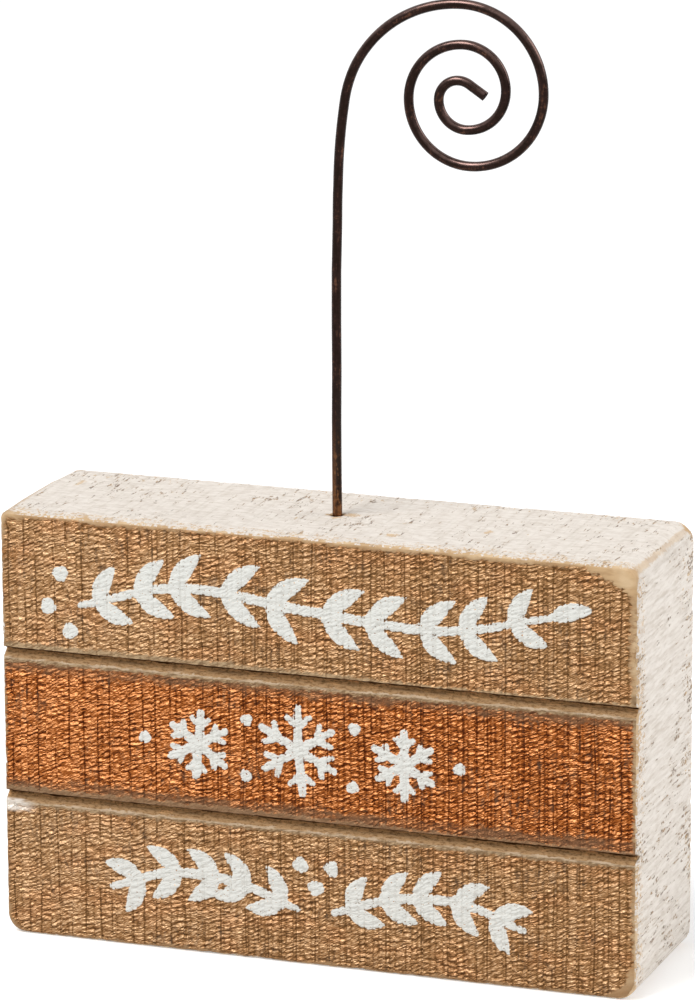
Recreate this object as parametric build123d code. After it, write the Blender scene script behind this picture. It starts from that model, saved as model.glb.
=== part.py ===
from build123d import *
from math import radians, tan
import os

# Wooden photo block holder: a solid block of planed timber, scored across the front so
# that it reads as three boards, with a hand-bent wire clip standing in a hole in its top.
# Millimetres. The origin is the middle of the underside: X runs to the right along the
# front, Y to the back, Z up.

# Block
block_width = 135.0
block_depth = 38.0
block_height = 89.0
corner_radius = 4.0       # three of the four long edges that run from front to back
least_corner_radius = 2.5  # the upper left one, which was sanded less
edge_easing = 1.0         # the sanded edges all round the front face and the back face

# Grooves across the front
board_count = 3
groove_width = 2.25
groove_depth = 2.0
groove_rise = 0.45        # how far the bottom of a groove lies above its middle
groove_lip = 0.28         # the worn lip along the lower side of a groove

# Hole for the wire, drilled down from the top
hole_from_middle_x = -2.2
hole_from_middle_y = 1.1
hole_depth = 25.0         # full width of the drill, without its point
hole_mouth = 0.5          # the broken edge at the mouth
drill_point_angle = 118.0

# Wire clip
wire_diameter = 2.0
wire_clearance = 0.05     # all round the wire in its hole, so that it turns by hand
wire_end_gap = 0.3        # under the wire, above the drill's point
stem_height = 63.0        # straight wire above the block
lead_radius = 126.0       # the gentle start of the bend
lead_angle = 10.1
shoulder_radius = 24.8    # the rest of the climb to the top of the clip
coil_radius = 16.85       # the first quarter turn after the top
coil_pitch = 7.36         # what the radius loses in one full turn
curl_radius = 4.1         # the last bend, before the cut end
curl_angle = 33.3
tail_length = 4.0

# How far each quarter turn departs from an even coil, as bent by hand, in coil pitches.
hand_bend_shares = (0.029, 0.024, -0.052, 0.015, -0.099, 0.079, -0.015, 0.016)

overrun = 1.0             # how far every cut runs past the face it enters by

# Worked out from the sizes above
wire_radius = wire_diameter / 2
hole_radius = wire_radius + wire_clearance
front_y = -block_depth / 2
board_height = (block_height - (board_count - 1) * groove_width) / board_count
quarter_angle = 90.0


def block_outline():
    # The block seen from the front, with its upper left corner rounded less than the others.
    upper_left = (-block_width / 2, block_height / 2)
    outline = Rectangle(block_width, block_height)
    outline = fillet(outline.vertices().sort_by_distance(upper_left)[1:], corner_radius)
    return fillet(outline.vertices().sort_by_distance(upper_left)[0], least_corner_radius)


def block_blank():
    blank = extrude(Plane.XZ * block_outline(), block_depth / 2, both=True)
    blank = fillet(blank.faces().filter_by(Axis.Y).edges(), edge_easing)
    return Pos(0, 0, block_height / 2) * blank


def groove_cutter(middle_z):
    # A V that leans up, worn along its lower lip, drawn in depth and height, then run past
    # both ends.
    half_width = groove_width / 2
    outline = Polyline(
        (-overrun, half_width),
        (0, half_width),
        (groove_depth, groove_rise),
        (groove_lip, groove_lip - half_width),
        (0, -half_width),
        (-overrun, -half_width),
        close=True,
    )
    profile_plane = Plane((0, front_y, middle_z), x_dir=(0, 1, 0), z_dir=(1, 0, 0))
    half_length = block_width / 2 + overrun
    return extrude(profile_plane * make_face(outline), half_length, both=True)


def hole_cutter():
    # The drilled hole with its point below and its broken edge above, turned on its axis.
    point_depth = hole_radius / tan(radians(drill_point_angle / 2))
    outline = Polyline(
        (0, overrun),
        (hole_radius + hole_mouth + overrun, overrun),
        (hole_radius, -hole_mouth),
        (hole_radius, -hole_depth),
        (0, -hole_depth - point_depth),
        close=True,
    )
    hole = revolve(Plane.XZ * make_face(outline), Axis.Z)
    return Pos(hole_from_middle_x, hole_from_middle_y, block_height) * hole


def wood_block():
    block = block_blank() - hole_cutter()
    for gap in range(1, board_count):
        middle_z = gap * board_height + (gap - 1) * groove_width + groove_width / 2
        block = block - groove_cutter(middle_z)
    return block


def clip_bends():
    # Every bend after the stem, in order, as a radius and an angle turned to the right.
    bends = [(lead_radius, lead_angle), (shoulder_radius, quarter_angle - lead_angle)]
    for quarter, share in enumerate(hand_bend_shares):
        even_radius = coil_radius - quarter * coil_pitch / 4
        bends.append((even_radius + share * coil_pitch, quarter_angle))
    bends.append((curl_radius, curl_angle))
    return bends


def clip_route():
    # Drawn flat, with the mouth of the hole at zero, then stood up parallel to the front.
    foot = -hole_depth + wire_end_gap
    pieces = [Line((0, foot), (0, stem_height))]
    for radius, angle in clip_bends():
        pieces.append(JernArc(pieces[-1] @ 1, pieces[-1] % 1, radius, -angle))
    tail_start = pieces[-1] @ 1
    tail_end = tail_start + (pieces[-1] % 1) * tail_length
    pieces.append(Line(tail_start, tail_end))
    stand = Plane(
        (hole_from_middle_x, hole_from_middle_y, block_height),
        x_dir=(1, 0, 0),
        z_dir=(0, -1, 0),
    )
    return stand * Wire(pieces)


def wire_clip():
    route = clip_route()
    section = Plane(route @ 0, z_dir=route % 0) * Circle(wire_radius)
    return sweep(section, path=route)


def least_gap(route):
    # The narrowest space between one turn of the clip and the next, along its own plane.
    half_turn = curl_radius * radians(2 * quarter_angle)
    step = wire_radius
    count = int(route.length / step)
    spots = [route.position_at(number / count) for number in range(count + 1)]
    apart = int(half_turn / step)
    nearest = min(
        (spots[first] - spots[second]).length
        for first in range(count + 1)
        for second in range(first + apart, count + 1)
    )
    return nearest - wire_diameter


os.makedirs("parts", exist_ok=True)
export_step(wood_block(), "parts/wood_block.step")
export_step(wire_clip(), "parts/wire_clip.step")

clip = clip_route()
print("wire length", round(clip.length, 1), "of which in the hole", round(hole_depth - wire_end_gap, 1))
print("bends", [(round(radius, 2), round(angle, 1)) for radius, angle in clip_bends()])
print("least gap between turns", round(least_gap(clip), 2))
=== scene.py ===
import math

import bpy
import numpy as np
from mathutils import Matrix, Vector


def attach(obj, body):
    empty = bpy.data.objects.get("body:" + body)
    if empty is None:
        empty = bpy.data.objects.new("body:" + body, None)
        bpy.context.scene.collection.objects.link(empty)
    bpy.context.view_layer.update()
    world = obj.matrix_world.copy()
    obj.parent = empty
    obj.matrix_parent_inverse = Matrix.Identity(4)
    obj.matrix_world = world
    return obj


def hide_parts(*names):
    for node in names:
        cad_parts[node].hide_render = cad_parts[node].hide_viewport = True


# A wooden photo block, sawn, painted and sanded back at its edges, with a spiral wire clip.
# Blender works in metres. Sizes below are in millimetres and are turned into metres by mm.
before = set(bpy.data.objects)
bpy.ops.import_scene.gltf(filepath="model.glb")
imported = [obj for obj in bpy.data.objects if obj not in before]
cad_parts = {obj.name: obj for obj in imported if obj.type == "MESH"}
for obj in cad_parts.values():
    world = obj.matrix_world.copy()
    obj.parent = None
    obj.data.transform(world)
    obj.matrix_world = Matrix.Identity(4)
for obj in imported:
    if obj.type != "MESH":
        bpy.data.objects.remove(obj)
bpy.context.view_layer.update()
mm = 0.001
scene = bpy.context.scene
print("frame loaded")

studio = {
    "cameraPlace": (416.9, -1142.5, 411.1),
    "cameraTurn": 20.03,        # degrees to the left, seen from above
    "cameraTilt": 14.68,        # degrees down
    "cameraRoll": -0.30,
    "lens": 225.3,
    "skyLight": 0.4,            # what the surroundings give the object
    "floorColour": (0.93, 0.93, 0.93, 1),
    "floorLift": 0.3,           # makes the lit floor white and leaves the shadow
    "floorReach": 9.0,          # metres
    "floorHeight": -0.05,
    "lamps": {"keyLamp": ((-1000, -1400, 2500), 1.5, 66.0),     # place, size in metres, watts
              "fillLamp": ((1700, 500, 900), 1.2, 16.0)},
    "lampAim": (0, 0, 60),
}

block = {
    "width": 135.0,
    "depth": 38.0,
    "height": 89.0,
    "cornerRadius": 4.0,
    "leastCorner": (1.3, 0.8, 1.1, 2.8),    # radius of the upper left corner, front to back
    "leastCornerAt": (-0.5, -0.2, 0.2, 0.5),    # where, in depths from the middle
    "easing": 1.0,              # rounding of the front and back arrises
    "arrisInset": 0.2,          # from the outline to the line where an arris wears most
    "crownShare": 0.71,         # from the middle of a corner's rounding to its crown
    "grooveMiddles": (29.3, 59.7),
    "grooveHeights": (-1.125, -0.845, 0.45, 1.125),     # from the middle, lower lip first
    "grooveDepths": (0.0, 0.28, 2.0, 0.0),
    "fineColumn": 0.68,         # mesh spacing on the front
    "fineRow": 0.31,
    "coarseStep": 0.92,         # mesh spacing on the other faces
    "fineReach": 4.0,           # how far the fine mesh runs over the arris
    "fineRings": 5,
    "coarseRings": 32,
    "holePlace": (-2.2, 1.1),
    "holeRadius": 1.05,
    "holeDepth": 25.0,
    "holePoint": 0.57,
    "holeSides": 40,
    "holeClearing": 2.6,        # the mesh of the top is taken away this far round the hole
    "mouth": ((0.9, 0.0), (0.5, 0.06), (0.3, 0.2), (0.16, 0.45), (0.07, 1.1), (0.02, 2.4),
              (0.0, 6.0)),      # how much wider than the hole, and how far down
    "holeAway": (10.0, 30.0),   # taken as the distances from an arris and a crown
    "frontDepth": 0.34,         # deepest relief in the mesh
    "frontCrest": 1.1,          # relief that keeps its full height
    "wallDepth": 0.16,
    "wallCrest": 0.75,
    "arrisWear": 0.45,          # how far the arrises are worn back at most
    "topRun": 287.2,            # the way round from the lower left corner to the middle of the top
    "chips": ((0.5, 1.6, 2.1, 1.3), (-4.0, 0.6, 0.7, 0.8), (-1.6, -0.9, 1.4, 1.0), (13.5, -10.5, 1.5, 1.1),
              (-62.0, 8.0, 1.6, 2.5), (31.0, -2.0, 0.8, 1.4)),      # x, y, half width, half depth
}

# The third number of a place tells its face. Down the hole it rises from that of the top.
regions = {"front": 0.0, "top": 40.0, "corner": 41.0, "end": 42.0, "back": 80.0, "holeRise": 0.4}


def srgb(red, green, blue):
    # A colour, 0 to 255, as the linear colour that Blender wants.
    linear = [c / 12.92 if c <= 0.04045 else ((c + 0.055) / 1.055) ** 2.4
              for c in (red / 255, green / 255, blue / 255)]
    return (*linear, 1)


paints = {name: srgb(*colour) for name, colour in {
    # The dark and pale bronze and copper stand in part for painted shade and painted highlight.
    "bronzeDark": (111, 77, 42), "bronzeMiddle": (164, 122, 80), "bronzePale": (210, 172, 132),
    "copperDark": (82, 32, 0), "copperMiddle": (160, 88, 33), "copperPale": (238, 164, 106),
    "copperEnd": (118, 84, 58), "stain": (92, 74, 58), "smudge": (226, 216, 204),
    "bareDark": (184, 150, 110), "bareMiddle": (200, 167, 126), "barePale": (216, 188, 150),
    "grubbyAndShaded": (148, 112, 76), "strip": (180, 154, 120), "stripDark": (134, 108, 78),
    # grooveInner serves as painted light; grooveBottom as painted shade and as the colour of flecks.
    "grooveFlank": (172, 136, 96), "grooveShade": (110, 78, 44), "grooveInner": (226, 174, 118),
    "grooveBottom": (84, 54, 24), "lip": (198, 174, 146), "bore": (58, 38, 24),
    "brushed": (228, 228, 222), "brushedShade": (207, 205, 197),
    "wall": (233, 225, 216), "wallShade": (208, 197, 185),
    "speck": (148, 114, 70), "speckDark": (98, 72, 44),
    "blotch": (206, 176, 130), "blotchDark": (162, 128, 84),
    "ironDark": (10, 5, 5), "ironMiddle": (32, 19, 17), "ironPale": (84, 56, 42),
    "ironSheen": (102, 82, 77), "rust": (132, 90, 58), "stemShade": (34, 26, 22),
}.items()}


class Value:
    # What a node gives. It can be reckoned with like a number.
    def __init__(self, socket):
        self.socket = socket

    __add__, __sub__, __mul__, __truediv__ = (
        lambda self, other, operation=operation: calc(operation, self, other)
        for operation in ("ADD", "SUBTRACT", "MULTIPLY", "DIVIDE"))

    def __rsub__(self, other):
        return calc("SUBTRACT", other, self)


# Small helpers for node trees. They work in shader trees and in geometry trees alike.
def plug(socket, value):
    # The value is a number, a colour, the name of a paint or what another node gives.
    if isinstance(value, Value):
        socket.id_data.links.new(value.socket, socket)
    else:
        socket.default_value = paints[value] if isinstance(value, str) else value


def newNode(kind, inlets, family="Shader", **settings):
    # The node goes into the tree that the values for its inlets come from.
    tree = next(value.socket.id_data for value in inlets.values() if isinstance(value, Value))
    node = tree.nodes.new(family + "Node" + kind)
    for label, setting in settings.items():
        setattr(node, label, setting)
    for label, value in inlets.items():
        plug(node.inputs[label], value)
    return [Value(outlet) for outlet in node.outputs]


def calc(operation, *values):
    return newNode("Math", dict(enumerate(values)), operation=operation)[0]


def highest(total, *values):
    for value in values:
        total = calc("MAXIMUM", total, value)
    return total


def fade(value, low, high, start=0.0, end=1.0):
    # Smoothly from start, at low and below, to end, at high and above.
    inlets = {"Value": value, "From Min": low, "From Max": high, "To Min": start, "To Max": end}
    return newNode("MapRange", inlets, interpolation_type="SMOOTHSTEP")[0]


def fall(value, low, high):
    return fade(value, low, high, 1.0, 0.0)


def split(vector):
    return newNode("SeparateXYZ", {0: vector})


def join(*parts):
    return newNode("CombineXYZ", dict(enumerate(parts)))[0]


def scaled(vector, scale):
    return newNode("VectorMath", {0: vector, "Scale": scale}, operation="SCALE")[0]


def cloud(place, detail=2, roughness=0.5):
    inlets = {"Vector": place, "Scale": 1.0, "Detail": detail, "Roughness": roughness}
    return newNode("TexNoise", inlets)[0]


def strands(place, width, height, shift, *look):
    # Soft noise from 0 to 1 in patches of about width by height, in millimetres. The look is
    # how much finer noise lies on it, and how strongly.
    x, y, z = split(place)
    return cloud(join(x / width, y / height, z + shift), *look)


def unrest(place, width, height, shift, *look):
    # The same, to either side of zero.
    return strands(place, width, height, shift, *look) - 0.5


def cells(place, feature):
    # Spaces of uneven length, one after another along a line.
    return newNode("TexVoronoi", {"W": place, "Scale": 1}, voronoi_dimensions="1D", feature=feature)


def slits(across, pitch, thickness):
    # 1 on thin lines that stand about one pitch apart, 0 between them.
    return fall(cells(across / pitch, "DISTANCE_TO_EDGE")[0] * pitch, 0, thickness)


def sawCells(across, pitch, thickness):
    # Thin lines about one pitch apart, two numbers from 0 to 1 for each space between, and how
    # far each point is from the middle of its space.
    place = across / pitch
    cell = cells(place, "F1")
    colour, middle = cell[1], cell[3]
    return slits(across, pitch, thickness), *split(colour)[:2], (place - middle) * pitch


def blend(factor, first, second):
    # Two colours, each from a node or by its name among the paints.
    return newNode("Mix", {0: factor, 6: first, 7: second}, data_type="RGBA")[2]


def layers(colour, *coats):
    # One coat over another, each as far as its factor says.
    for factor, coat in coats:
        colour = blend(factor, colour, coat)
    return colour


def bumpNormal(height, distance, strength):
    inlets = {"Height": height, "Distance": distance, "Strength": strength}
    return newNode("Bump", inlets)[0]


def openGroup(name, kind, inlets):
    # A node group with named inlets. Also what comes in through them.
    group = bpy.data.node_groups.new(name, kind)
    for label, socketKind in inlets.items():
        group.interface.new_socket(label, in_out="INPUT", socket_type="NodeSocket" + socketKind)
    given = group.nodes.new("NodeGroupInput").outputs
    return group, [Value(given[label]) for label in inlets]


def closeGroup(group, socketKind, **results):
    for label in results:
        group.interface.new_socket(label, in_out="OUTPUT", socket_type="NodeSocket" + socketKind)
    end = group.nodes.new("NodeGroupOutput")
    for label, value in results.items():
        plug(end.inputs[label], value)
    return group


def useGroup(group, **values):
    family = group.bl_idname.replace("NodeTree", "")
    outlets = newNode("Group", values, family, node_tree=group)
    return {outlet.socket.name: outlet for outlet in outlets}


def stored(tree, name):
    # What the mesh holds under this name, as either kind of tree reads it.
    isPlace = name == "sheetPlace"
    if tree.bl_idname == "ShaderNodeTree":
        node = tree.nodes.new("ShaderNodeAttribute")
        node.attribute_name = name
        return Value(node.outputs["Vector" if isPlace else "Fac"])
    node = tree.nodes.new("GeometryNodeInputNamedAttribute")
    node.data_type = "FLOAT_VECTOR" if isPlace else "FLOAT"
    node.inputs["Name"].default_value = name
    return Value(node.outputs["Attribute"])


def surfaceValues(tree):
    return {"Place": stored(tree, "sheetPlace"), "Arris": stored(tree, "arrisAway"),
            "Crest": stored(tree, "crestAway")}


groupUses = {"ShaderNodeTree": "Colours", "GeometryNodeTree": "Carving"}
surfaceInlets = {"Place": "Vector", "Arris": "Float", "Crest": "Float"}


def grooveOffsets(z):
    # How far above the middle of each groove, and how far from the nearer one.
    offsets = [z - middle for middle in block["grooveMiddles"]]
    return offsets, calc("MINIMUM", *[calc("ABSOLUTE", offset) for offset in offsets])


def frontSurface(kind):
    # The front: sawn boards under paint, grooves, sanded edges and the brushed ornament.
    group, (place, arris, crest, brush) = openGroup(
        "sawnFront" + groupUses[kind], kind, {**surfaceInlets, "Brush": "Float"})
    x, z, region = split(place)

    # Saw cuts straight up the boards, faint at the left and plainer towards the right
    swayed = x + unrest(place, 6, 24, 1.7, 1) * 1.2
    strong = slits(swayed, 3.1, 0.3)
    strongBreaks = fade(strands(place, 3, 9, 6.6, 1), 0.38, 0.54)
    light, jog, tint, aside = sawCells(swayed + 40, 1.4, 0.5)
    busy = fade(x, -60, 0, 0.47, 0.3)
    breaks = fade(strands(place, 1.5, 4.5, 2.2, 1) - busy, 0, 0.25)
    saw = highest(strong * strongBreaks, light * breaks * 0.6)

    # Torn grain: short ridges that climb to the right and start again at each saw cut
    drift = unrest(place, 9, 6, 3.1, 1)
    climb = x * -0.17 - aside * 0.2
    lifted = z + climb + drift * 1.8 + (jog - 0.5) * 0.4
    bent = join(x, lifted, region)
    ridges = strands(bent, 1.45, 0.66, 0, 1.8)
    phase = lifted * (math.tau / 0.9) + strands(bent, 1.8, 1.4, 25, 1) * 8
    ridge = ridges * 2.4 + calc("SINE", phase) * 0.09 - 0.7
    broad = unrest(bent, 6.5, 2.4, 5, 0)
    crumbs = unrest(bent, 0.6, 0.34, 15, 1)
    relief = ridge + broad * 0.35 + crumbs * 0.5 - saw * 0.38
    valley = fall(relief, -0.05, 0.4)

    # Grooves, and the strips along them that were sanded
    offsets, nearGroove = grooveOffsets(z)
    groove = fall(nearGroove, 1.04, 1.12)
    ragged = unrest(place, 1.5, 0.8, 4.4, 3, 0.65)
    thinner = fade(x, -25, 35, 0.5, 1.1)
    nearStrip = calc("MINIMUM", *[calc("ABSOLUTE", offset - 0.35) + thinner * fade(offset, 0.5, 1.2)
                                  for offset in offsets])
    strip = fall(nearStrip + ragged * 2.6, 1.85, 2.55)

    # Sanding round the front arris: thin at the left and low on the right, wide at the corners
    # and high on the right, and right through the paint at the upper right corner
    wander = unrest(place, 12, 12, 7.7, 1) * 1.8
    cornerPull = fade(x, -60, 60, 1, 2.1) * fall(crest, 1, 7)
    rightPull = fade(x, 58, 63) * fade(z, 55, 75, -0.15, 0.75)
    sidePull = rightPull + fade(x, -63, -58, -0.6, 0) + fade(z, 1.5, 5, -0.45, 0)
    rim = arris + ragged * 2.6 + wander - sidePull - cornerPull
    patchLine = (x - 66.5) * -0.1 + (z - 88) * -0.2 + ragged * 0.8
    patch = fall(patchLine, 0.85, 1.02)
    edge = highest(fall(rim, 0.3, 1.1), patch)
    sanded = highest(strip, edge)
    # Painted shade: the paint turns darker just inside the sanded rim.
    fringe = fall(rim, 1, 2.4)
    # Darker bare wood: painted shade on the left and along the bottom, dirt on the right, more a little
    # way in from the arris.
    leftRim = fade(x, -60, -20, 0.6, 0) * fade(z, 80, 87, 1, 0.1)
    dirt = fade(x, 40, 55) * fade(ragged, -0.02, 0.1, 0, 0.7) * fade(crest, 4, 9)
    grubbyAndShaded = highest(fade(rim, -0.9, 0.6, 0, 0.5), leftRim, fade(z, 2, 8, 0.7, 0), dirt)

    # Ornament: crisp edges that the ridges nick
    pits = fade(strands(place, 0.55, 0.4, 19, 1), 0.67, 0.72) * fade(brush, 0.3, 1.3, 0.9, 1.6)
    nicks = valley * -0.2 - saw * 0.2 + ragged * 0.45 - pits
    ornament = fade(brush + nicks, -0.06, 0.12) * fade(nearGroove, 1, 1.5)

    # The middle board is copper, and both paints are stained
    copper = fade(z + ragged * 0.6, 29.2, 29.4) * fall(z, 59.5, 59.8)
    patches = fade(strands(place, 12, 9, 9.9), 0.46, 0.62)
    dribbles = fade(strands(place, 0.9, 3.2, 9.1, 2, 0.6), 0.5, 0.6)
    stain = patches * dribbles * fade(valley, 0, 1, 0.45, 1)
    keep = (1 - edge * 0.85) * (1 - strip * 0.5) * (1 - ornament * 0.55) * (1 - groove * 0.9)
    return closeGroup(group, "Float", Relief=relief, Keep=keep, Crumbs=crumbs, Saw=saw, Sanded=sanded,
                      Groove=groove, Ornament=ornament, Copper=copper, Stain=stain, Ragged=ragged,
                      Tint=tint, Fringe=fringe, Grubby=grubbyAndShaded * (1 - patch))


def wallSurface(kind):
    # Top, ends, back and underside: sawn across, painted off-white, worn on the edges.
    group, (place, arris, crest) = openGroup("sawnWall" + groupUses[kind], kind, surfaceInlets)
    across, along, region = split(place)
    notBack = fall(region, 50, 60)
    endGrain = fade(region, regions["top"] + 0.3, regions["end"] - 0.3) * notBack

    def either(onSides, onEnds):
        return onSides * (1 - endGrain) + onEnds * endGrain

    swayed = across + unrest(place, 6, 26, 1.3, 1) * 1.6
    wide = slits(swayed, 2.9, 0.55)
    narrow = slits(swayed + 70, 1.3, 0.36)
    broken = fade(strands(place, 2, 7, 2.6), 0.44, 0.6)
    saw = highest(wide * fade(broken, 0, 1, 0.3, 1), narrow * broken * 0.6)
    saw = saw * fade(endGrain, 0, 1, 0.7, 1)
    texture = either(strands(place, 2.6, 0.6, 4.2, 3, 0.6),
                     strands(place, 0.7, 3.5, 4.8, 2, 0.6))
    streak = either(strands(place, 3, 1.6, 6.2, 3, 0.65),
                    strands(place, 1, 8.5, 5.2, 2, 0.6))
    relief = saw * -0.5 + texture * 1.3 + streak * fade(endGrain, 0, 1, 0.3, 0.9)

    # Bare specks where the paint never reached the bottom of the saw marks, in short dashes
    # along them. On the ends they crowd near the front and the back, and thin out high up.
    dashes = strands(place, 0.62, 3.6, 3.3, 2, 0.6)
    dots = fade(strands(place, 0.7, 0.7, 3.5, 1), 0.4, 0.52)
    crowd = strands(place, 8, 9, 5.7)
    nearArris = fall(arris, 3, 9)
    nearBack = fade(along, 3, 10) * endGrain
    high = endGrain * fade(across, 160, 188) * (1 - nearArris) * (1 - nearBack)
    bar = (0.87 - crowd * 0.42 - nearArris * endGrain * 0.04 - endGrain * 0.015
           - saw * endGrain * 0.07 - wide * 0.03 + high * 0.1)
    specks = fade(dashes - bar, -0.04, 0.04) * dots
    spots = strands(place, 1, 2.6, 3.9, 3, 0.65)
    bar = 0.855 - crowd * 0.34 - nearArris * 0.07 - nearBack * 0.04 + high * 0.1
    blotches = fade(spots - bar, 0.01, 0.08)

    # Wear: half bare on the arris itself, then blotches that thin out over some millimetres
    blots = strands(place, 0.75, 0.75, 7.4, 3, 0.65)
    frayed = blots - 0.5
    wander = unrest(place, 22, 9, 8.8, 1)
    thinning = (fade(arris, 0, 1.6, 0.44, 0.555) + fade(arris, 3, 8.5, 0, 0.3) + wander * 0.3
                + fade(along, 8, 15, 0, 0.12))
    edge = fade(blots - thinning, -0.04, 0.05)
    crownLine = crest + frayed * 2.2 + wander * 1.6
    crown = fade(crownLine, 0.35, 1, 0.62, 0) * fade(along, -14, 14, 1, 0.7)
    cornerRub = fall(crest + arris + frayed * 2.4, 2.2, 3.4)
    chips = []
    for chipX, chipY, halfWidth, halfDepth in block["chips"]:
        aside = (across + (chipX - block["topRun"])) * (1 / halfWidth)
        back = (along - chipY) * (1 / halfDepth)
        spread = calc("SQRT", aside * aside + back * back)
        chips.append(fade(spread + frayed * 3.2, 0.75, 1, 0.85, 0))
    onTop = fade(across, 225, 226) * fall(across, 348, 349) * notBack
    wearAndSheen = highest(edge, crown, cornerRub, highest(*chips) * onTop)
    return closeGroup(group, "Float", Relief=relief, Keep=1 - wearAndSheen * 0.85, Specks=specks,
                      Blotches=blotches, Worn=wearAndSheen, Streak=streak, Saw=saw, Texture=texture)


def closed(ring):
    return np.append(ring, ring[0])


class MeshBook:
    # Collects points and faces, with the values that go on each of them.
    def __init__(self):
        self.points, self.arris, self.crest = [], [], []
        self.faces, self.places, self.kinds = [], [], []

    def addPoints(self, x, y, z, arris, crest):
        start = len(self.points)
        x, y, z, arris, crest = np.broadcast_arrays(x, y, z, arris, crest)
        self.points += np.stack([x.ravel(), y.ravel(), z.ravel()], 1).tolist()
        self.arris += arris.ravel().tolist()
        self.crest += crest.ravel().tolist()
        return np.arange(start, start + x.size).reshape(x.shape)

    def addFaces(self, faces, places, kind):
        self.faces += [list(map(int, face)) for face in faces]
        self.places += [[tuple(map(float, spot)) for spot in spots] for spots in places]
        self.kinds += [kind] * len(faces)

    def addGrid(self, index, x, z, region, kind, flip):
        places = np.stack([x, z, np.full(x.shape, region)], -1)
        early, late = slice(None, -1), slice(1, None)
        parts = [(early, early), (early, late), (late, late), (late, early)][::-1 if flip else 1]
        self.addFaces(np.stack([index[part].ravel() for part in parts], 1),
                      np.stack([places[part].reshape(-1, 3) for part in parts], 1), kind)

    def addStrip(self, first, second, firstPlaces, secondPlaces, kind):
        # Quads between two rings of the same count, going back from the front.
        first, second = closed(first), closed(second)
        self.addFaces(np.stack([first[:-1], second[:-1], second[1:], first[1:]], 1),
                      np.stack([firstPlaces[:-1], secondPlaces[:-1], secondPlaces[1:],
                                firstPlaces[1:]], 1), kind)


def gridLines(stops, step):
    # Lines about one step apart from the first stop to the last, every stop among them.
    lines = [stops[0]]
    for start, end in zip(stops, stops[1:]):
        count = max(1, round((end - start) / step))
        lines += [start + (end - start) * k / count for k in range(1, count + 1)]
    return np.array(lines)


def capGrid(lips, columnStep, rowStep):
    # A flat grid whose corners follow the rounded ones, the numbers of its rim, and the ring at
    # any distance out from that.
    middle, radius = block["height"] / 2, block["cornerRadius"] - block["easing"]

    def lines(side, between, step):
        reach = block[side] / 2 - block["easing"]
        return gridLines([-reach, -reach + radius, *between, reach - radius, reach], step)

    across, up = lines("width", (), columnStep), lines("height", lips, rowStep)
    x, z = np.meshgrid(across, up)
    cornerX, cornerZ = across[-1] - radius, up[-1] - radius
    u, v = (np.abs(x) - cornerX) / radius, (np.abs(z) - cornerZ) / radius
    inCorner = (u > 0) & (v > 0)
    shrink = np.where(inCorner, np.maximum(u, v) / np.where(inCorner, np.hypot(u, v), 1), 1)
    x = np.where(inCorner, np.sign(x) * (cornerX + u * shrink * radius), x)
    z = np.where(inCorner, np.sign(z) * (cornerZ + v * shrink * radius), z)
    index = np.arange(x.size).reshape(x.shape)
    rim = np.concatenate([index[0, :-1], index[:-1, -1], index[-1, :0:-1], index[:0:-1, 0]])
    rimX, rimZ = x.ravel()[rim], z.ravel()[rim]
    outX = np.sign(rimX) * np.clip(np.abs(rimX) - cornerX, 0, None)
    outZ = np.sign(rimZ) * np.clip(np.abs(rimZ) - cornerZ, 0, None)
    length = np.hypot(outX, outZ)
    outX, outZ, rimZ = outX / length, outZ / length, rimZ + middle
    return x, z + middle, rim, lambda out: (rimX + outX * out, rimZ + outZ * out)


def grooveDepth(z):
    return sum(np.interp(z - middle, block["grooveHeights"], block["grooveDepths"])
               for middle in block["grooveMiddles"])


def capDistances(x, z):
    # How far each point of the front or back is from an arris, and from a corner's crown.
    radius, middle = block["cornerRadius"], block["height"] / 2
    cornerX, cornerZ = block["width"] / 2 - radius, middle - radius
    x, z = np.abs(x), np.abs(z - middle)
    u, v = x - cornerX, z - cornerZ
    outside = np.hypot(np.clip(u, 0, None), np.clip(v, 0, None))
    inside = radius - (outside + np.minimum(np.maximum(u, v), 0))
    crown = radius * block["crownShare"]
    return inside - block["arrisInset"], np.hypot(x - (cornerX + crown), z - (cornerZ + crown))


def sharpenCorner(points):
    # The upper left corner was sanded less than the others, least of all at the front.
    radius = block["cornerRadius"]
    u = -points[:, 0] - (block["width"] / 2 - radius)
    v = points[:, 2] - (block["height"] - radius)
    least = np.interp(points[:, 1], np.array(block["leastCornerAt"]) * block["depth"],
                      block["leastCorner"])
    inside = (u > 1e-6) & (v > 1e-6)
    far = np.where(inside, np.hypot(u, v), 1.0)
    along, across = np.maximum(u, v) / far, np.minimum(u, v) / far
    centre = radius - least
    towards = centre * (along + across)
    onArc = towards + np.sqrt(np.maximum(towards ** 2 - 2 * centre ** 2 + least ** 2, 0))
    straight = radius * across < centre * along
    outline = np.where(straight, radius / np.where(inside, along, 1.0), onArc)
    scale = np.where(inside, outline / radius, 1.0)
    points[:, 0] -= u * (scale - 1)
    points[:, 2] += v * (scale - 1)
    return points


quarter = math.pi / 2 * block["cornerRadius"]       # the way round one corner, and along the flats
long, short = (block[side] - 2 * block["cornerRadius"] for side in ("width", "height"))


def wallRegion(run):
    # The top and the underside, the two ends, and in between round the corners.
    marks = np.cumsum([quarter / 2, long, quarter, short, quarter, long, quarter, short])
    flats = 2 * [*2 * [regions["top"]], *2 * [regions["end"]]]
    return np.interp(run, [0, *marks, run[-1]], [regions["corner"], *flats, regions["corner"]])


def flatPlaces(x, z):
    return np.stack([closed(x), closed(z), np.full(len(x) + 1, regions["front"])], 1)


def wallPlaces(run, y):
    return np.stack([run, np.full(len(run), y), wallRegion(run)], 1)


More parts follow.
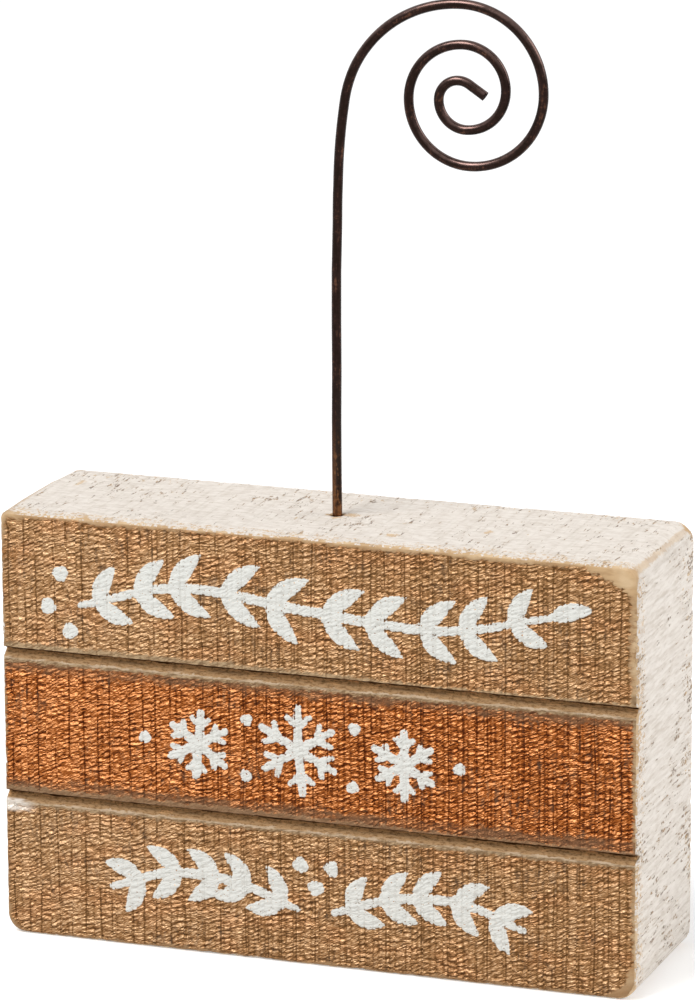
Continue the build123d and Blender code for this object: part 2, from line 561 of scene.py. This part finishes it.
def zipRings(rings, runs):
    # Triangles between two rings of different counts, as ring and number, and as faces.
    i = j = 0
    found = []
    while i < len(rings[0]) or j < len(rings[1]):
        if j == len(rings[1]) or (i < len(rings[0]) and runs[0][i + 1] <= runs[1][j + 1]):
            found.append(((0, i), (1, j), (0, i + 1)))
            i += 1
        else:
            found.append(((0, i), (1, j), (1, j + 1)))
            j += 1
    return found, [[rings[r][n % len(rings[r])] for r, n in corners] for corners in found]


def rimRun(x, z):
    # How far round the block each point of a ring is, ending back at the first point, and how
    # far each is from the crown of the nearest rounded corner.
    steps = np.hypot(np.diff(closed(x)), np.diff(closed(z)))
    run = np.concatenate([[0], np.cumsum(steps)])
    run = run / run[-1] * (2 * (long + short) + 4 * quarter)
    crowns = np.cumsum([0, long + quarter, short + quarter, long + quarter, short + quarter])
    return run, np.min(np.abs(run[:-1, None] - crowns[None, :]), 1)


def buildBlockMesh():
    book = MeshBook()
    front, back, ease = -block["depth"] / 2, block["depth"] / 2, block["easing"]
    inset, halfway = block["arrisInset"], 0.785     # halfway round an arris, in radians
    lips = [middle + height - block["height"] / 2 for middle in block["grooveMiddles"]
            for height in block["grooveHeights"]]

    # Front face
    x, z, rim, ringAt = capGrid(lips, block["fineColumn"], block["fineRow"])
    cap = book.addPoints(x, front + grooveDepth(z), z, *capDistances(x, z))
    book.addGrid(cap, x, z, regions["front"], 0, False)

    # Over the arris and a little way along the sides, with the fine mesh
    fineRun, crest = rimRun(*ringAt(ease))
    grooves = grooveDepth(ringAt(0)[1])
    end = front + block["fineReach"]
    turns = math.pi / 8 * np.arange(1, 5)
    stops = [(math.sin(a) * ease, front + ease - math.cos(a) * ease, ease * abs(a - halfway))
             for a in turns]
    stops += [(ease, y, y - front - inset)
              for y in np.linspace(front + ease, end, block["fineRings"] + 1)[1:]]
    last, lastOut, lastY = cap.ravel()[rim], 0.0, front
    for number, (out, y, away) in enumerate(stops):
        x, z = ringAt(out)
        ring = book.addPoints(x, y + grooves * (end - y) / (end - front), z, away, crest)
        if number < 2:
            # Still the front: its place is read as if the face went on flat
            book.addStrip(last, ring, flatPlaces(*ringAt(lastOut)), flatPlaces(x, z), 0)
        else:
            book.addStrip(last, ring, wallPlaces(fineRun, lastY), wallPlaces(fineRun, y), 1)
        last, lastOut, lastY = ring, out, y

    # The rest of the way to the back, with the coarse mesh
    backX, backZ, rim, ringAt = capGrid((), block["coarseStep"], block["coarseStep"])
    run, crest = rimRun(*ringAt(ease))
    stops = [(ease, y, min(y - front, back - y) - inset)
             for y in np.linspace(end, back - ease, block["coarseRings"] + 1)[1:]]
    stops += [(math.cos(a) * ease, back - ease + math.sin(a) * ease, ease * abs(a - halfway))
              for a in turns[:3]]
    for number, (out, y, away) in enumerate(stops):
        x, z = ringAt(out)
        ring = book.addPoints(x, y, z, away, crest)
        if number == 0:
            spots = wallPlaces(fineRun, lastY), wallPlaces(run, y)
            found, faces = zipRings((last, ring), (fineRun, run))
            book.addFaces(faces, [[spots[r][n] for r, n in corners] for corners in found], 1)
        else:
            book.addStrip(last, ring, wallPlaces(run, lastY), wallPlaces(run, y), 1)
        last, lastY = ring, y

    # Back face
    cap = book.addPoints(backX, back, backZ, *capDistances(backX, backZ))
    book.addGrid(cap, backX, backZ, regions["back"], 1, True)
    book.addStrip(last, cap.ravel()[rim], wallPlaces(run, lastY), wallPlaces(run, back), 1)
    drillHole(book)
    return book


def drillHole(book):
    # Takes out the faces over the hole, and closes the gap with the mouth and the bore.
    centreX, centreY = block["holePlace"]
    top, count = block["height"], block["holeSides"]
    points = np.array(book.points)
    aside, back = points[:, 0] - centreX, points[:, 1] - centreY
    near = (points[:, 2] > top - 0.01) & (np.hypot(aside, back) < block["holeClearing"])
    gone = [n for n, face in enumerate(book.faces) if any(near[v] for v in face)]
    kept = sorted(set(range(len(book.faces))) - set(gone))
    edges = {pair for n in gone for pair in zip(book.faces[n], book.faces[n][1:] + book.faces[n][:1])}
    turnOf = {a: math.atan2(back[a], aside[a]) % math.tau for a, b in edges if (b, a) not in edges}
    rim = sorted(turnOf, key=turnOf.get)
    rimTurns = np.array([turnOf[vertex] for vertex in rim])
    # The way round falls as x rises along the top
    shift = points[rim[0], 0] + next(spot[0] for n in gone for v, spot in
                                     zip(book.faces[n], book.places[n]) if v == rim[0])
    book.faces, book.places, book.kinds = (
        [values[n] for n in kept] for values in (book.faces, book.places, book.kinds))

    def addInside(faces, kind):
        book.addFaces(faces, [[(shift - x, y, regions["top"] + (top - z) * regions["holeRise"])
                               for x, y, z in (book.points[v] for v in face)] for face in faces], kind)

    # The rings of the mouth and the bore, with the wood a little torn round the rim
    turns = math.tau * (np.arange(count) + 0.5) / count
    torn = 1 + 0.35 * np.cos(turns - 2.9) + 0.16 * np.sin(3 * turns + 0.6) + 0.1 * np.sin(7 * turns)
    rings = []
    for out, down in (*block["mouth"], (0.0, block["holeDepth"])):
        reach = block["holeRadius"] + out * torn
        rings.append(book.addPoints(centreX + reach * np.cos(turns), centreY + reach * np.sin(turns),
                                    top - down, *block["holeAway"]))
    start = np.argmin(np.abs(turns - rimTurns[0]))
    runs = [closed(rimTurns - rimTurns[0]), closed((np.roll(turns, -start) - turns[start]) % math.tau)]
    runs[0][-1] = runs[1][-1] = math.tau
    faces = zipRings((rim, np.roll(rings[0], -start)), runs)[1]
    addInside([face[::-1] for face in faces], 1)
    for number, (outer, inner) in enumerate(zip(rings, rings[1:])):
        outer, inner = closed(outer), closed(inner)
        addInside(np.stack([outer[:-1], outer[1:], inner[1:], inner[:-1]], 1), 2 if number else 1)
    bottom = top - block["holeDepth"] - block["holePoint"]
    tip = book.addPoints(centreX, centreY, bottom, *block["holeAway"])
    last = closed(rings[-1])
    addInside([(first, second, tip) for first, second in zip(last, last[1:])], 2)


ornament = {
    "leafHalfWidth": 1.95,
    "leafLength": 9.3,
    "stemHalfWidth": 1.15,
    "berryRadius": 1.6,
    "armHalfWidth": 1.15,
    "barbHalfWidth": 0.85,
    "topSprig": ((-50, 71), (-28, 76.5), (0, 74), (27, 72.6), (50, 77.5)),
    "lowSprigs": (((-4, 11.6), (-17, 15.8), (-31, 16.4), (-44, 12.2)),
                  ((4, 11.6), (17, 15.8), (31, 16.4), (44, 12.2))),
    "snowflakes": ((-25, 44.2, 6.6), (-3.5, 45.0, 8.8), (19, 44.0, 6.6)),       # x, z, size
    "berries": ((-54.5, 77.2), (-57.2, 70.2), (-52.5, 65.4), (0, 16.4), (-3.2, 21.0), (3.4, 20.8)),
    "dots": ((-36.5, 44.6), (-14.6, 50.3), (-14.8, 38.6), (8.4, 50.6), (8.0, 38.4), (30.6, 44.4)),
    "farOutside": -9.0,
}


def heading(angle):
    return np.array([math.cos(angle), math.sin(angle)])


def curvePoints(knots, count):
    # A smooth line through a few given points.
    knots = np.array(knots, float)
    ends = np.vstack([2 * knots[0] - knots[1], knots, 2 * knots[-1] - knots[-2]])
    line = []
    for n in range(len(knots) - 1):
        a, b, c, d = ends[n:n + 4]
        for t in np.linspace(0, 1, count, endpoint=n == len(knots) - 2):
            line.append(0.5 * (2 * b + (c - a) * t + (2 * a - 5 * b + 4 * c - d) * t ** 2
                               + (3 * b - a - 3 * c + d) * t ** 3))
    return np.array(line)


def leafStroke(base, angle, length, halfWidth, bow):
    # One press of a round brush: narrow, full, then off to a point.
    direction = heading(angle)
    aside = np.array([-direction[1], direction[0]])
    stroke = []
    for t in np.linspace(0, 1, 8):
        swell = math.sin(math.pi * min(1, 0.08 + 0.9 * t) ** 0.85) ** 0.8
        spot = np.array(base) + direction * length * t + aside * bow * math.sin(math.pi * t)
        stroke.append((*spot, max(0.25, halfWidth * swell)))
    return stroke


def sprig(knots, leafSpots, hand):
    line = curvePoints(knots, 12)
    count = len(line)
    swells = [0.55 + 0.45 * math.sin(math.pi * (0.12 + 0.8 * n / count)) for n in range(count)]
    strokes = [[(*spot, ornament["stemHalfWidth"] * swell) for spot, swell in zip(line, swells)]]
    for share, side, scale in leafSpots:
        n = min(count - 2, int(share * (count - 1)))
        stem = math.atan2(*(line[n + 1] - line[n])[::-1])
        angle = stem + side * (0.72 + hand.uniform(-0.12, 0.12))
        strokes.append(leafStroke(line[n], angle, ornament["leafLength"] * scale,
                                  ornament["leafHalfWidth"] * (0.8 + 0.2 * scale), side * 0.7))
    return strokes


def snowflake(x, z, size, hand):
    strokes = []
    arm, barb = ornament["armHalfWidth"], ornament["barbHalfWidth"]
    middle = np.array([x, z])
    start = hand.uniform(-0.1, 0.1)
    for number in range(6):
        angle = math.pi / 2 + number * math.pi / 3 + start + hand.uniform(-0.05, 0.05)
        reach = size * (1 + hand.uniform(-0.07, 0.07))
        out = heading(angle)
        strokes.append([(x, z, arm), (*(middle + out * reach), arm * 0.75)])
        knee = middle + out * reach * 0.55
        for side in (-1, 1):
            bend = angle + side * (0.85 + hand.uniform(-0.06, 0.06))
            strokes.append([(*knee, barb), (*(knee + size * 0.36 * heading(bend)), barb * 0.8)])
    return strokes


def berry(x, z, scale=1.0):
    # Three dabs round the middle, turned another way at each place, so that no dot is round.
    radius = ornament["berryRadius"] * scale
    turn = 0.9 * x + 0.4 * z
    dabs = ((0.0, 0.3, 0.88), (2.3, 0.4, 0.76), (4.1, 0.42, 0.74))
    return [(*((x, z) + radius * away * heading(turn + angle)), radius * size)
            for angle, away, size in dabs]


def ornamentStrokes():
    # Each stroke is a chain of spots, with the half width of the brush at each.
    hand = np.random.default_rng(7)
    leaves = [(0.06 + 0.095 * n, side, 0.8 + 0.28 * math.sin(math.pi * (0.12 + 0.085 * n)))
              for n in range(10) for side in (-1, 1)]
    strokes = sprig(ornament["topSprig"], leaves, hand)
    strokes.append(leafStroke(ornament["topSprig"][-1], 0.25, 8.5, 1.9, 0.5))
    for x, z, size in ornament["snowflakes"]:
        strokes += snowflake(x, z, size, hand)
    leaves = [(0.1 + 0.19 * n, side, 0.86) for n in range(5) for side in (-1, 1)]
    for knots in ornament["lowSprigs"]:
        strokes += sprig(knots, leaves, hand)
    strokes += [berry(x, z) for x, z in ornament["berries"]]
    return strokes + [berry(x, z, 0.8) for x, z in ornament["dots"]]


def brushReach(points):
    # How far inside the nearest brush stroke each point is, less than 0 outside.
    reach = np.full(len(points), ornament["farOutside"])
    front = points[:, 1] < max(block["grooveDepths"]) + 0.5 - block["depth"] / 2
    x, z = points[front, 0], points[front, 2]
    best = reach[front]
    for stroke in ornamentStrokes():
        for (ax, az, ra), (bx, bz, rb) in zip(stroke, stroke[1:]):
            dx, dz = bx - ax, bz - az
            size = max(1e-9, dx * dx + dz * dz)
            t = np.clip(((x - ax) * dx + (z - az) * dz) / size, 0, 1)
            away = np.hypot(x - ax - t * dx, z - az - t * dz)
            best = np.maximum(best, ra + t * (rb - ra) - away)
    reach[front] = best
    return reach


def markCreases(mesh, points):
    # The bottoms and lips of the grooves stay sharp.
    levels = np.array([middle + height for middle in block["grooveMiddles"]
                       for height in block["grooveHeights"]])
    onLevel = np.min(np.abs(points[:, 2:3] - levels[None, :]), 1) < 1e-3
    onLevel &= points[:, 1] < -block["depth"] / 2 + block["fineReach"] - 0.5
    ends = np.zeros(len(mesh.edges) * 2, np.int32)
    mesh.edges.foreach_get("vertices", ends)
    first, second = ends.reshape(-1, 2).T
    level = np.abs(points[first, 2] - points[second, 2]) < 1e-3
    sharp = mesh.attributes.new("sharp_edge", "BOOLEAN", "EDGE")
    sharp.data.foreach_set("value", onLevel[first] & onLevel[second] & level)


def storeValues(mesh, **values):
    for name, numbers in values.items():
        layer = mesh.attributes.new(name, "FLOAT", "POINT")
        layer.data.foreach_set("value", np.asarray(numbers, np.float32))


def carve(piece):
    # Presses the relief into the mesh, always inwards, then keeps the result.
    tree, (shape,) = openGroup("carving", "GeometryNodeTree", {"Geometry": "Geometry"})
    values = surfaceValues(tree)
    place, arris = values["Place"], values["Arris"]
    front = useGroup(frontSurface(tree.bl_idname), Brush=stored(tree, "brushReach"), **values)
    wall = useGroup(wallSurface(tree.bl_idname), **values)
    region = split(place)[2]
    frontPush = (front["Relief"] - block["frontCrest"]) * front["Keep"] * (block["frontDepth"] * mm)
    wallPush = (wall["Relief"] - block["wallCrest"]) * wall["Keep"] * (block["wallDepth"] * mm)
    push = frontPush * fall(region, 1, 2) + wallPush * fade(region, 38, 40)
    nicks = fade(strands(place, 2.4, 2.4, 21, 3, 0.6), 0.5, 0.75)
    wobble = nicks * fade(arris, 0.2, 2, -block["arrisWear"] * mm, 0)
    pressed = calc("MINIMUM", push, 0) * fade(arris, 0, 0.7, 0.25, 1)
    normal = Value(tree.nodes.new("GeometryNodeInputNormal").outputs[0])
    moved = newNode("SetPosition", {"Geometry": shape, "Offset": scaled(normal, pressed + wobble)},
                    "Geometry")[0]
    piece.modifiers.new("carving", "NODES").node_group = closeGroup(tree, "Geometry", Geometry=moved)
    bpy.context.view_layer.update()
    pressedPiece = piece.evaluated_get(bpy.context.evaluated_depsgraph_get())
    carved = bpy.data.meshes.new_from_object(pressedPiece)
    piece.modifiers.clear()
    piece.data = carved


def newPiece(name, data):
    piece = bpy.data.objects.new(name, data)
    scene.collection.objects.link(piece)
    return piece


def newMaterial(name):
    material = bpy.data.materials.new(name)
    material.use_nodes = True
    return material


def finishMaterial(material, inlets):
    shader = material.node_tree.nodes["Principled BSDF"]
    for label, value in inlets.items():
        plug(shader.inputs[label], value)
    return material


def bareWoodGroup():
    group, (place,) = openGroup("bareWood", "ShaderNodeTree", {"Place": "Vector"})
    grain = strands(place, 4.5, 0.9, 11, 4, 0.6)
    patches = fade(strands(place, 6, 5, 12), 0.42, 0.62, 0, 0.8)
    colour = layers("bareDark", (fade(grain, 0.3, 0.62), "bareMiddle"), (patches, "barePale"))
    return closeGroup(group, "Color", Colour=colour)


def frontMaterial(bareWood):
    material = newMaterial("paintedFront")
    tree = material.node_tree
    values = surfaceValues(tree)
    place = values["Place"]
    look = useGroup(frontSurface(tree.bl_idname), Brush=stored(tree, "brushReach"), **values)
    bare = useGroup(bareWood, Place=place)["Colour"]
    copper, sanded, ragged = look["Copper"], look["Sanded"], look["Ragged"]
    x, z = split(place)[:2]
    offsets, nearGroove = grooveOffsets(z)
    bumped = bumpNormal(look["Relief"], block["frontDepth"] * mm, look["Keep"])
    # Painted highlight: the paint turns paler where the bumped surface leans up.
    facing = split(bumped)[2]       # how far the surface leans up
    # Tone also holds painted shade towards the right and just inside the sanded rim, besides ridges, saw
    # cuts and tint.
    toneAndPaintedLight = (facing * 0.6 + look["Relief"] * 0.36 + look["Crumbs"] * 0.3 - look["Saw"] * 0.32
            + look["Tint"] * 0.15 - look["Fringe"] * 0.08 + fade(x, -60, 60, 0.245, 0.165))

    # Dark, middle and pale copies of one paint, in part painted shade and painted highlight.
    def paint(name):
        return layers(name + "Dark", (fade(toneAndPaintedLight, 0, 0.5), name + "Middle"),
                      (fade(toneAndPaintedLight, 0.45, 0.95), name + "Pale"))

    # Along the grooves: the copper ends in a brown fringe, and the sanded strips are grimy
    warmth = fade(strands(place, 11, 6, 18), 0.45, 0.65, 0, 0.2)
    uneven = fade(strands(place, 9, 3, 15.5), 0.38, 0.6, 0.45, 0.9)
    copperEnd = copper * fall(nearGroove + ragged * 5, 2.8, 4.6) * uneven
    strip = fade(nearGroove, 3, 4, 0.85, 0)
    rusty = copper * fall(z, 35, 40) * fade(x, -60, 20, 0.75, 0.9)
    grimy = layers("stripDark", (fade(toneAndPaintedLight, 0.15, 0.75), "strip"), (rusty, "copperEnd"))
    flecks = fade(ragged, 0.09, 0.17, 0, 0.7) * fade(nearGroove, 1.3, 1.6) * strip * sanded

    # In the grooves: a shaded flank, a painted light inside, a painted shade at the bottom and on the
    # flank facing down, a rubbed lip below
    patchy = strands(place, 5, 1, 16)
    lineSway = (patchy - 0.5) * 0.8
    torn = [offset + ragged * 1.6 for offset in offsets]
    lip = highest(*[fade(offset, -1.5, -1.25) * fall(offset, -1, -0.85) for offset in torn])
    rubbed = fade(patchy + ragged * 0.5, 0.38, 0.56, 0.1, 0.9)
    streaks = strands(place, 1.1, 0.3, 17, 3, 0.75)

    def above(share, low, high):
        # The part of each groove above a wavering line.
        sway = lineSway * share
        return highest(*[fade(offset + sway, low, high) * fall(offset, 1.2, 1.3) for offset in offsets])

    flank = layers("grooveFlank", (above(2, -0.4, 0.1), "grooveInner"),
                   (fade(streaks, 0.36, 0.56, 0.8, 0), "grooveShade"),
                   (above(1, 0.34, 0.4), "grooveBottom"))
    smear = (fall(x, -64.5, -60) * fade(z, 25.6, 26.6) * fall(z, 28.4, 28.8)
             * fade(patchy, 0.35, 0.5))
    brushed = blend(fade(toneAndPaintedLight, 0.1, 0.5, 0.6, 0), "brushed", "brushedShade")
    colour = layers(paint("bronze"), (highest(copper, warmth), paint("copper")),
                    (look["Stain"] * 0.7, "stain"), (copperEnd, "copperEnd"),
                    (sanded, blend(look["Grubby"], bare, "grubbyAndShaded")), (strip * sanded, grimy),
                    (flecks, "grooveBottom"), (look["Groove"], flank), (lip * rubbed, "lip"),
                    (smear, "smudge"), (look["Ornament"], brushed))
    shine = (1 - look["Ornament"]) * (1 - sanded) * (1 - look["Groove"])
    return finishMaterial(material, {
        "Base Color": colour, "Metallic": shine * 0.6, "Specular IOR Level": 0.15,
        "Roughness": fade(shine, 0, 1, 0.72, 0.45), "Normal": bumped})


def wallMaterial(bareWood):
    material = newMaterial("whitePaint")
    tree = material.node_tree
    values = surfaceValues(tree)
    place = values["Place"]
    look = useGroup(wallSurface(tree.bl_idname), **values)
    bare = useGroup(bareWood, Place=place)["Colour"]
    shade = (fall(look["Streak"], 0.35, 0.62) * 0.45 + fall(look["Texture"], 0.32, 0.58) * 0.5
             + look["Saw"] * 0.5)
    speck = blend(fade(strands(place, 3, 3, 14), 0.4, 0.6), "speck", "speckDark")
    blotch = blend(fade(strands(place, 2.5, 2.5, 13), 0.42, 0.58), "blotch", "blotchDark")
    # Painted shade: worn places turn darker from the upper left corner down the left end.
    leftEnd = fade(split(place)[0], 350, 357, 0, 0.7)
    colour = layers("wall", (shade, "wallShade"), (look["Blotches"] * 0.75, blotch),
                    (look["Specks"] * 0.85, speck), (look["Worn"], blend(leftEnd, bare, "grubbyAndShaded")))
    bumped = bumpNormal(look["Relief"], block["wallDepth"] * mm, look["Keep"])
    return finishMaterial(material, {"Base Color": colour, "Roughness": 0.7, "Normal": bumped})


def boreMaterial(bareWood):
    material = newMaterial("drilledWood")
    place = stored(material.node_tree, "sheetPlace")
    # Painted shade: darker from just below the rim down the hole.
    dark = fade(split(place)[2], regions["top"] + 0.05, regions["top"] + 0.25, 0.1, 0.8)
    colour = blend(dark, useGroup(bareWood, Place=place)["Colour"], "bore")
    return finishMaterial(material, {"Base Color": colour, "Roughness": 0.85})


def buildBlock():
    book = buildBlockMesh()
    mesh = bpy.data.meshes.new("woodBlock")
    points = sharpenCorner(np.array(book.points))
    mesh.from_pydata((points * mm).tolist(), [], book.faces)
    mesh.polygons.foreach_set("use_smooth", [True] * len(mesh.polygons))
    mesh.polygons.foreach_set("material_index", book.kinds)
    places = np.array([spot for spots in book.places for spot in spots], np.float32)
    layer = mesh.attributes.new("sheetPlace", "FLOAT_VECTOR", "CORNER")
    layer.data.foreach_set("vector", places.ravel())
    markCreases(mesh, points)
    storeValues(mesh, arrisAway=book.arris, crestAway=book.crest, brushReach=brushReach(points))
    bareWood = bareWoodGroup()
    for material in (frontMaterial(bareWood), wallMaterial(bareWood), boreMaterial(bareWood)):
        mesh.materials.append(material)
    piece = newPiece("woodBlock", mesh)
    carve(piece)
    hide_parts("wood_block")
    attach(piece, "block")
    return piece


wire = {
    "radius": 1.0,
    "foot": -24.7,              # lowest point, below the top of the block
    "waves": ((0, 0), (10, -0.05), (20, -0.05), (30, 0.05), (40, 0.04), (50, 0.1), (60, 0.36),
              (68, 0.45), (78, 0.25), (92, 0)),     # how far the stem strays aside, by height
    "wavySpots": 280,           # the spots from the foot up that the waves move
    "stem": 63.0,
    "stemSpots": 190,
    "bends": ((126.0, 10.1), (24.8, 79.9), (17.06, 90), (15.19, 90), (12.79, 90), (11.44, 90),
              (8.76, 90), (8.23, 90), (5.7, 90), (4.09, 90), (4.1, 33.3)),      # radius, degrees
    "tail": 4.0,
    "tailSpots": 9,
    "step": 0.45,
    "leastSteps": 6,            # in one bend
    "sides": 20,
}


def wireLine():
    # The wire as points with headings, from its foot in the hole to its cut end.
    spots = [(0.0, v) for v in np.linspace(wire["foot"], wire["stem"], wire["stemSpots"])]
    x, z = spots[-1]
    angle = math.pi / 2
    angles = [angle] * len(spots)
    for radius, degrees in wire["bends"]:
        turn = math.radians(degrees)
        count = max(wire["leastSteps"], round(radius * turn / wire["step"]))
        now = angle - turn * np.arange(1, count + 1) / count
        spots += zip(x + radius * math.sin(angle) - radius * np.sin(now),
                     z - radius * math.cos(angle) + radius * np.cos(now))
        angles += now.tolist()
        angle, (x, z) = angle - turn, spots[-1]
    reach = np.linspace(0, wire["tail"], wire["tailSpots"] + 1)[1:]
    spots = np.array(spots + list(zip(x + reach * math.cos(angle), z + reach * math.sin(angle))))
    angles += [angle] * len(reach)
    wavy = spots[:wire["wavySpots"]]
    heights, strays = np.array(wire["waves"], float).T
    wavy[:, 0] += np.interp(wavy[:, 1], heights, strays)
    return spots, np.array(angles)


def buildWire():
    spots, headings = wireLine()
    steps = np.concatenate([[0], np.cumsum(np.hypot(*np.diff(spots, axis=0).T))])
    baseX, baseY = block["holePlace"]
    sides, radius = wire["sides"], wire["radius"]
    around = math.tau * np.arange(sides) / sides
    reach = radius * np.cos(around)
    x = baseX + spots[:, :1] + np.sin(headings)[:, None] * reach
    z = block["height"] + spots[:, 1:] - np.cos(headings)[:, None] * reach
    points = np.stack(np.broadcast_arrays(x, baseY + radius * np.sin(around), z), -1)
    index = np.arange(x.size).reshape(x.shape)
    beside = np.roll(index, -1, 1)
    faces = np.stack([index[:-1], beside[:-1], beside[1:], index[1:]], -1).reshape(-1, 4).tolist()
    faces += [index[0, ::-1].tolist(), index[-1].tolist()]
    mesh = bpy.data.meshes.new("wireClip")
    mesh.from_pydata((points.reshape(-1, 3) * mm).tolist(), [], faces)
    mesh.polygons.foreach_set("use_smooth", [True] * (len(faces) - 2) + [False, False])
    storeValues(mesh, wireRun=np.repeat(steps, sides), wireAround=np.tile(around, len(spots)))
    mesh.materials.append(wireMaterial())
    mesh.materials.append(cutMaterial())
    mesh.polygons[len(faces) - 1].material_index = 1
    piece = newPiece("wireClip", mesh)
    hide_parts("wire_clip")
    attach(piece, "clip")
    return piece


def wireMaterial():
    material = newMaterial("darkIron")
    tree = material.node_tree
    place = scaled(Value(tree.nodes.new("ShaderNodeTexCoord").outputs["Object"]), 1 / mm)
    far, around = stored(tree, "wireRun"), stored(tree, "wireAround")
    patches = strands(place, 1.6, 1.6, 0, 4, 0.65)
    fine = strands(place, 0.35, 0.35, 0, 3, 0.6)
    lengthwise = join(far / 6, calc("COSINE", around) * 1.3, calc("SINE", around) * 1.3)
    streaks = cloud(lengthwise, 4, 0.65)
    mottle = patches * 0.4 + streaks * 0.6 + (fine - 0.5) * 0.25

    # Paler on the side that faces up, a painted highlight; rusty low down; darker on the right of the
    # stem, a painted shade
    upward = split(Value(tree.nodes.new("ShaderNodeNewGeometry").outputs["Normal"]))[2]
    wearAndSheen = fade(upward, 0.02, 0.62) * fade(mottle, 0.3, 0.55, 0.25, 0.8)
    rust = fade(mottle, 0.4, 0.54, 1, 0.35) * fade(far, 24, 48, 1, 0.04)
    axis = block["holePlace"][0]
    stemShade = (fade(far, 25.5, 28) * fall(far, 40, 60)
            * fade(split(place)[0], axis - 0.1, axis + 0.3) * fade(mottle, 0.36, 0.5))
    colour = layers("ironDark", (fade(mottle, 0.42, 0.52), "ironMiddle"),
                    (fade(mottle, 0.53, 0.67), "ironPale"), (wearAndSheen, "ironSheen"), (rust, "rust"),
                    (stemShade * 0.9, "stemShade"))
    return finishMaterial(material, {
        "Base Color": colour, "Metallic": 1, "Roughness": fade(patches, 0.35, 0.65, 0.14, 0.34),
        "Coat Weight": 0.1, "Coat Roughness": 0.2, "Normal": bumpNormal(fine, 0.03 * mm, 0.3)})


def cutMaterial():
    return finishMaterial(newMaterial("cutIron"), {
        "Base Color": "ironMiddle", "Roughness": 0.9, "Specular IOR Level": 0.1})


def addCamera():
    data = bpy.data.cameras.new("photoCamera")
    data.lens = studio["lens"]
    camera = newPiece("photoCamera", data)
    stand = Matrix.Translation(Vector(studio["cameraPlace"]) * mm)
    for angle, axis in ((studio["cameraTurn"], "Z"), (90 - studio["cameraTilt"], "X"),
                        (studio["cameraRoll"], "Z")):
        stand = stand @ Matrix.Rotation(math.radians(angle), 4, axis)
    camera.matrix_world = stand
    scene.camera = camera


def addLamp(name, place, size, power):
    data = bpy.data.lights.new(name, "AREA")
    data.size = size
    data.energy = power
    lamp = newPiece(name, data)
    spot = Vector(place) * mm
    lamp.location = spot
    aim = Vector(studio["lampAim"]) * mm - spot
    lamp.rotation_euler = aim.to_track_quat("-Z", "Y").to_euler()


def seenDirectly(tree):
    # 1 for what the camera sees, also in a reflection or through something clear.
    path = tree.nodes.new("ShaderNodeLightPath").outputs
    return highest(*[Value(path[label]) for label in (
        "Is Camera Ray", "Is Glossy Ray", "Is Transmission Ray")])


def addStudio():
    world = bpy.data.worlds.new("paleRoom")
    scene.world = world
    world.use_nodes = True
    background = world.node_tree.nodes["Background"].inputs
    plug(background["Color"], (1, 1, 1, 1))
    plug(background["Strength"], fade(seenDirectly(world.node_tree), 0.0, 1.0, studio["skyLight"], 1.0))

    reach, height = studio["floorReach"], studio["floorHeight"] * mm
    mesh = bpy.data.meshes.new("floor")
    mesh.from_pydata([(x * reach, y * reach, height) for x, y in ((-1, -1), (1, -1), (1, 1), (-1, 1))],
                     [], [[0, 1, 2, 3]])
    floor = newPiece("floor", mesh)
    material = newMaterial("paleFloor")
    seen = seenDirectly(material.node_tree)
    mesh.materials.append(finishMaterial(material, {
        "Base Color": studio["floorColour"], "Roughness": 1.0, "Specular IOR Level": 0.0,
        "Emission Color": (1, 1, 1, 1), "Emission Strength": seen * studio["floorLift"]}))
    for name, settings in studio["lamps"].items():
        addLamp(name, *settings)


scene.view_settings.view_transform = "Standard"
addCamera()
addStudio()
print("studio ready")
woodBlock = buildBlock()
print("block ready,", len(woodBlock.data.polygons), "faces")
wireClip = buildWire()
print("wire ready,", len(wireClip.data.polygons), "faces")
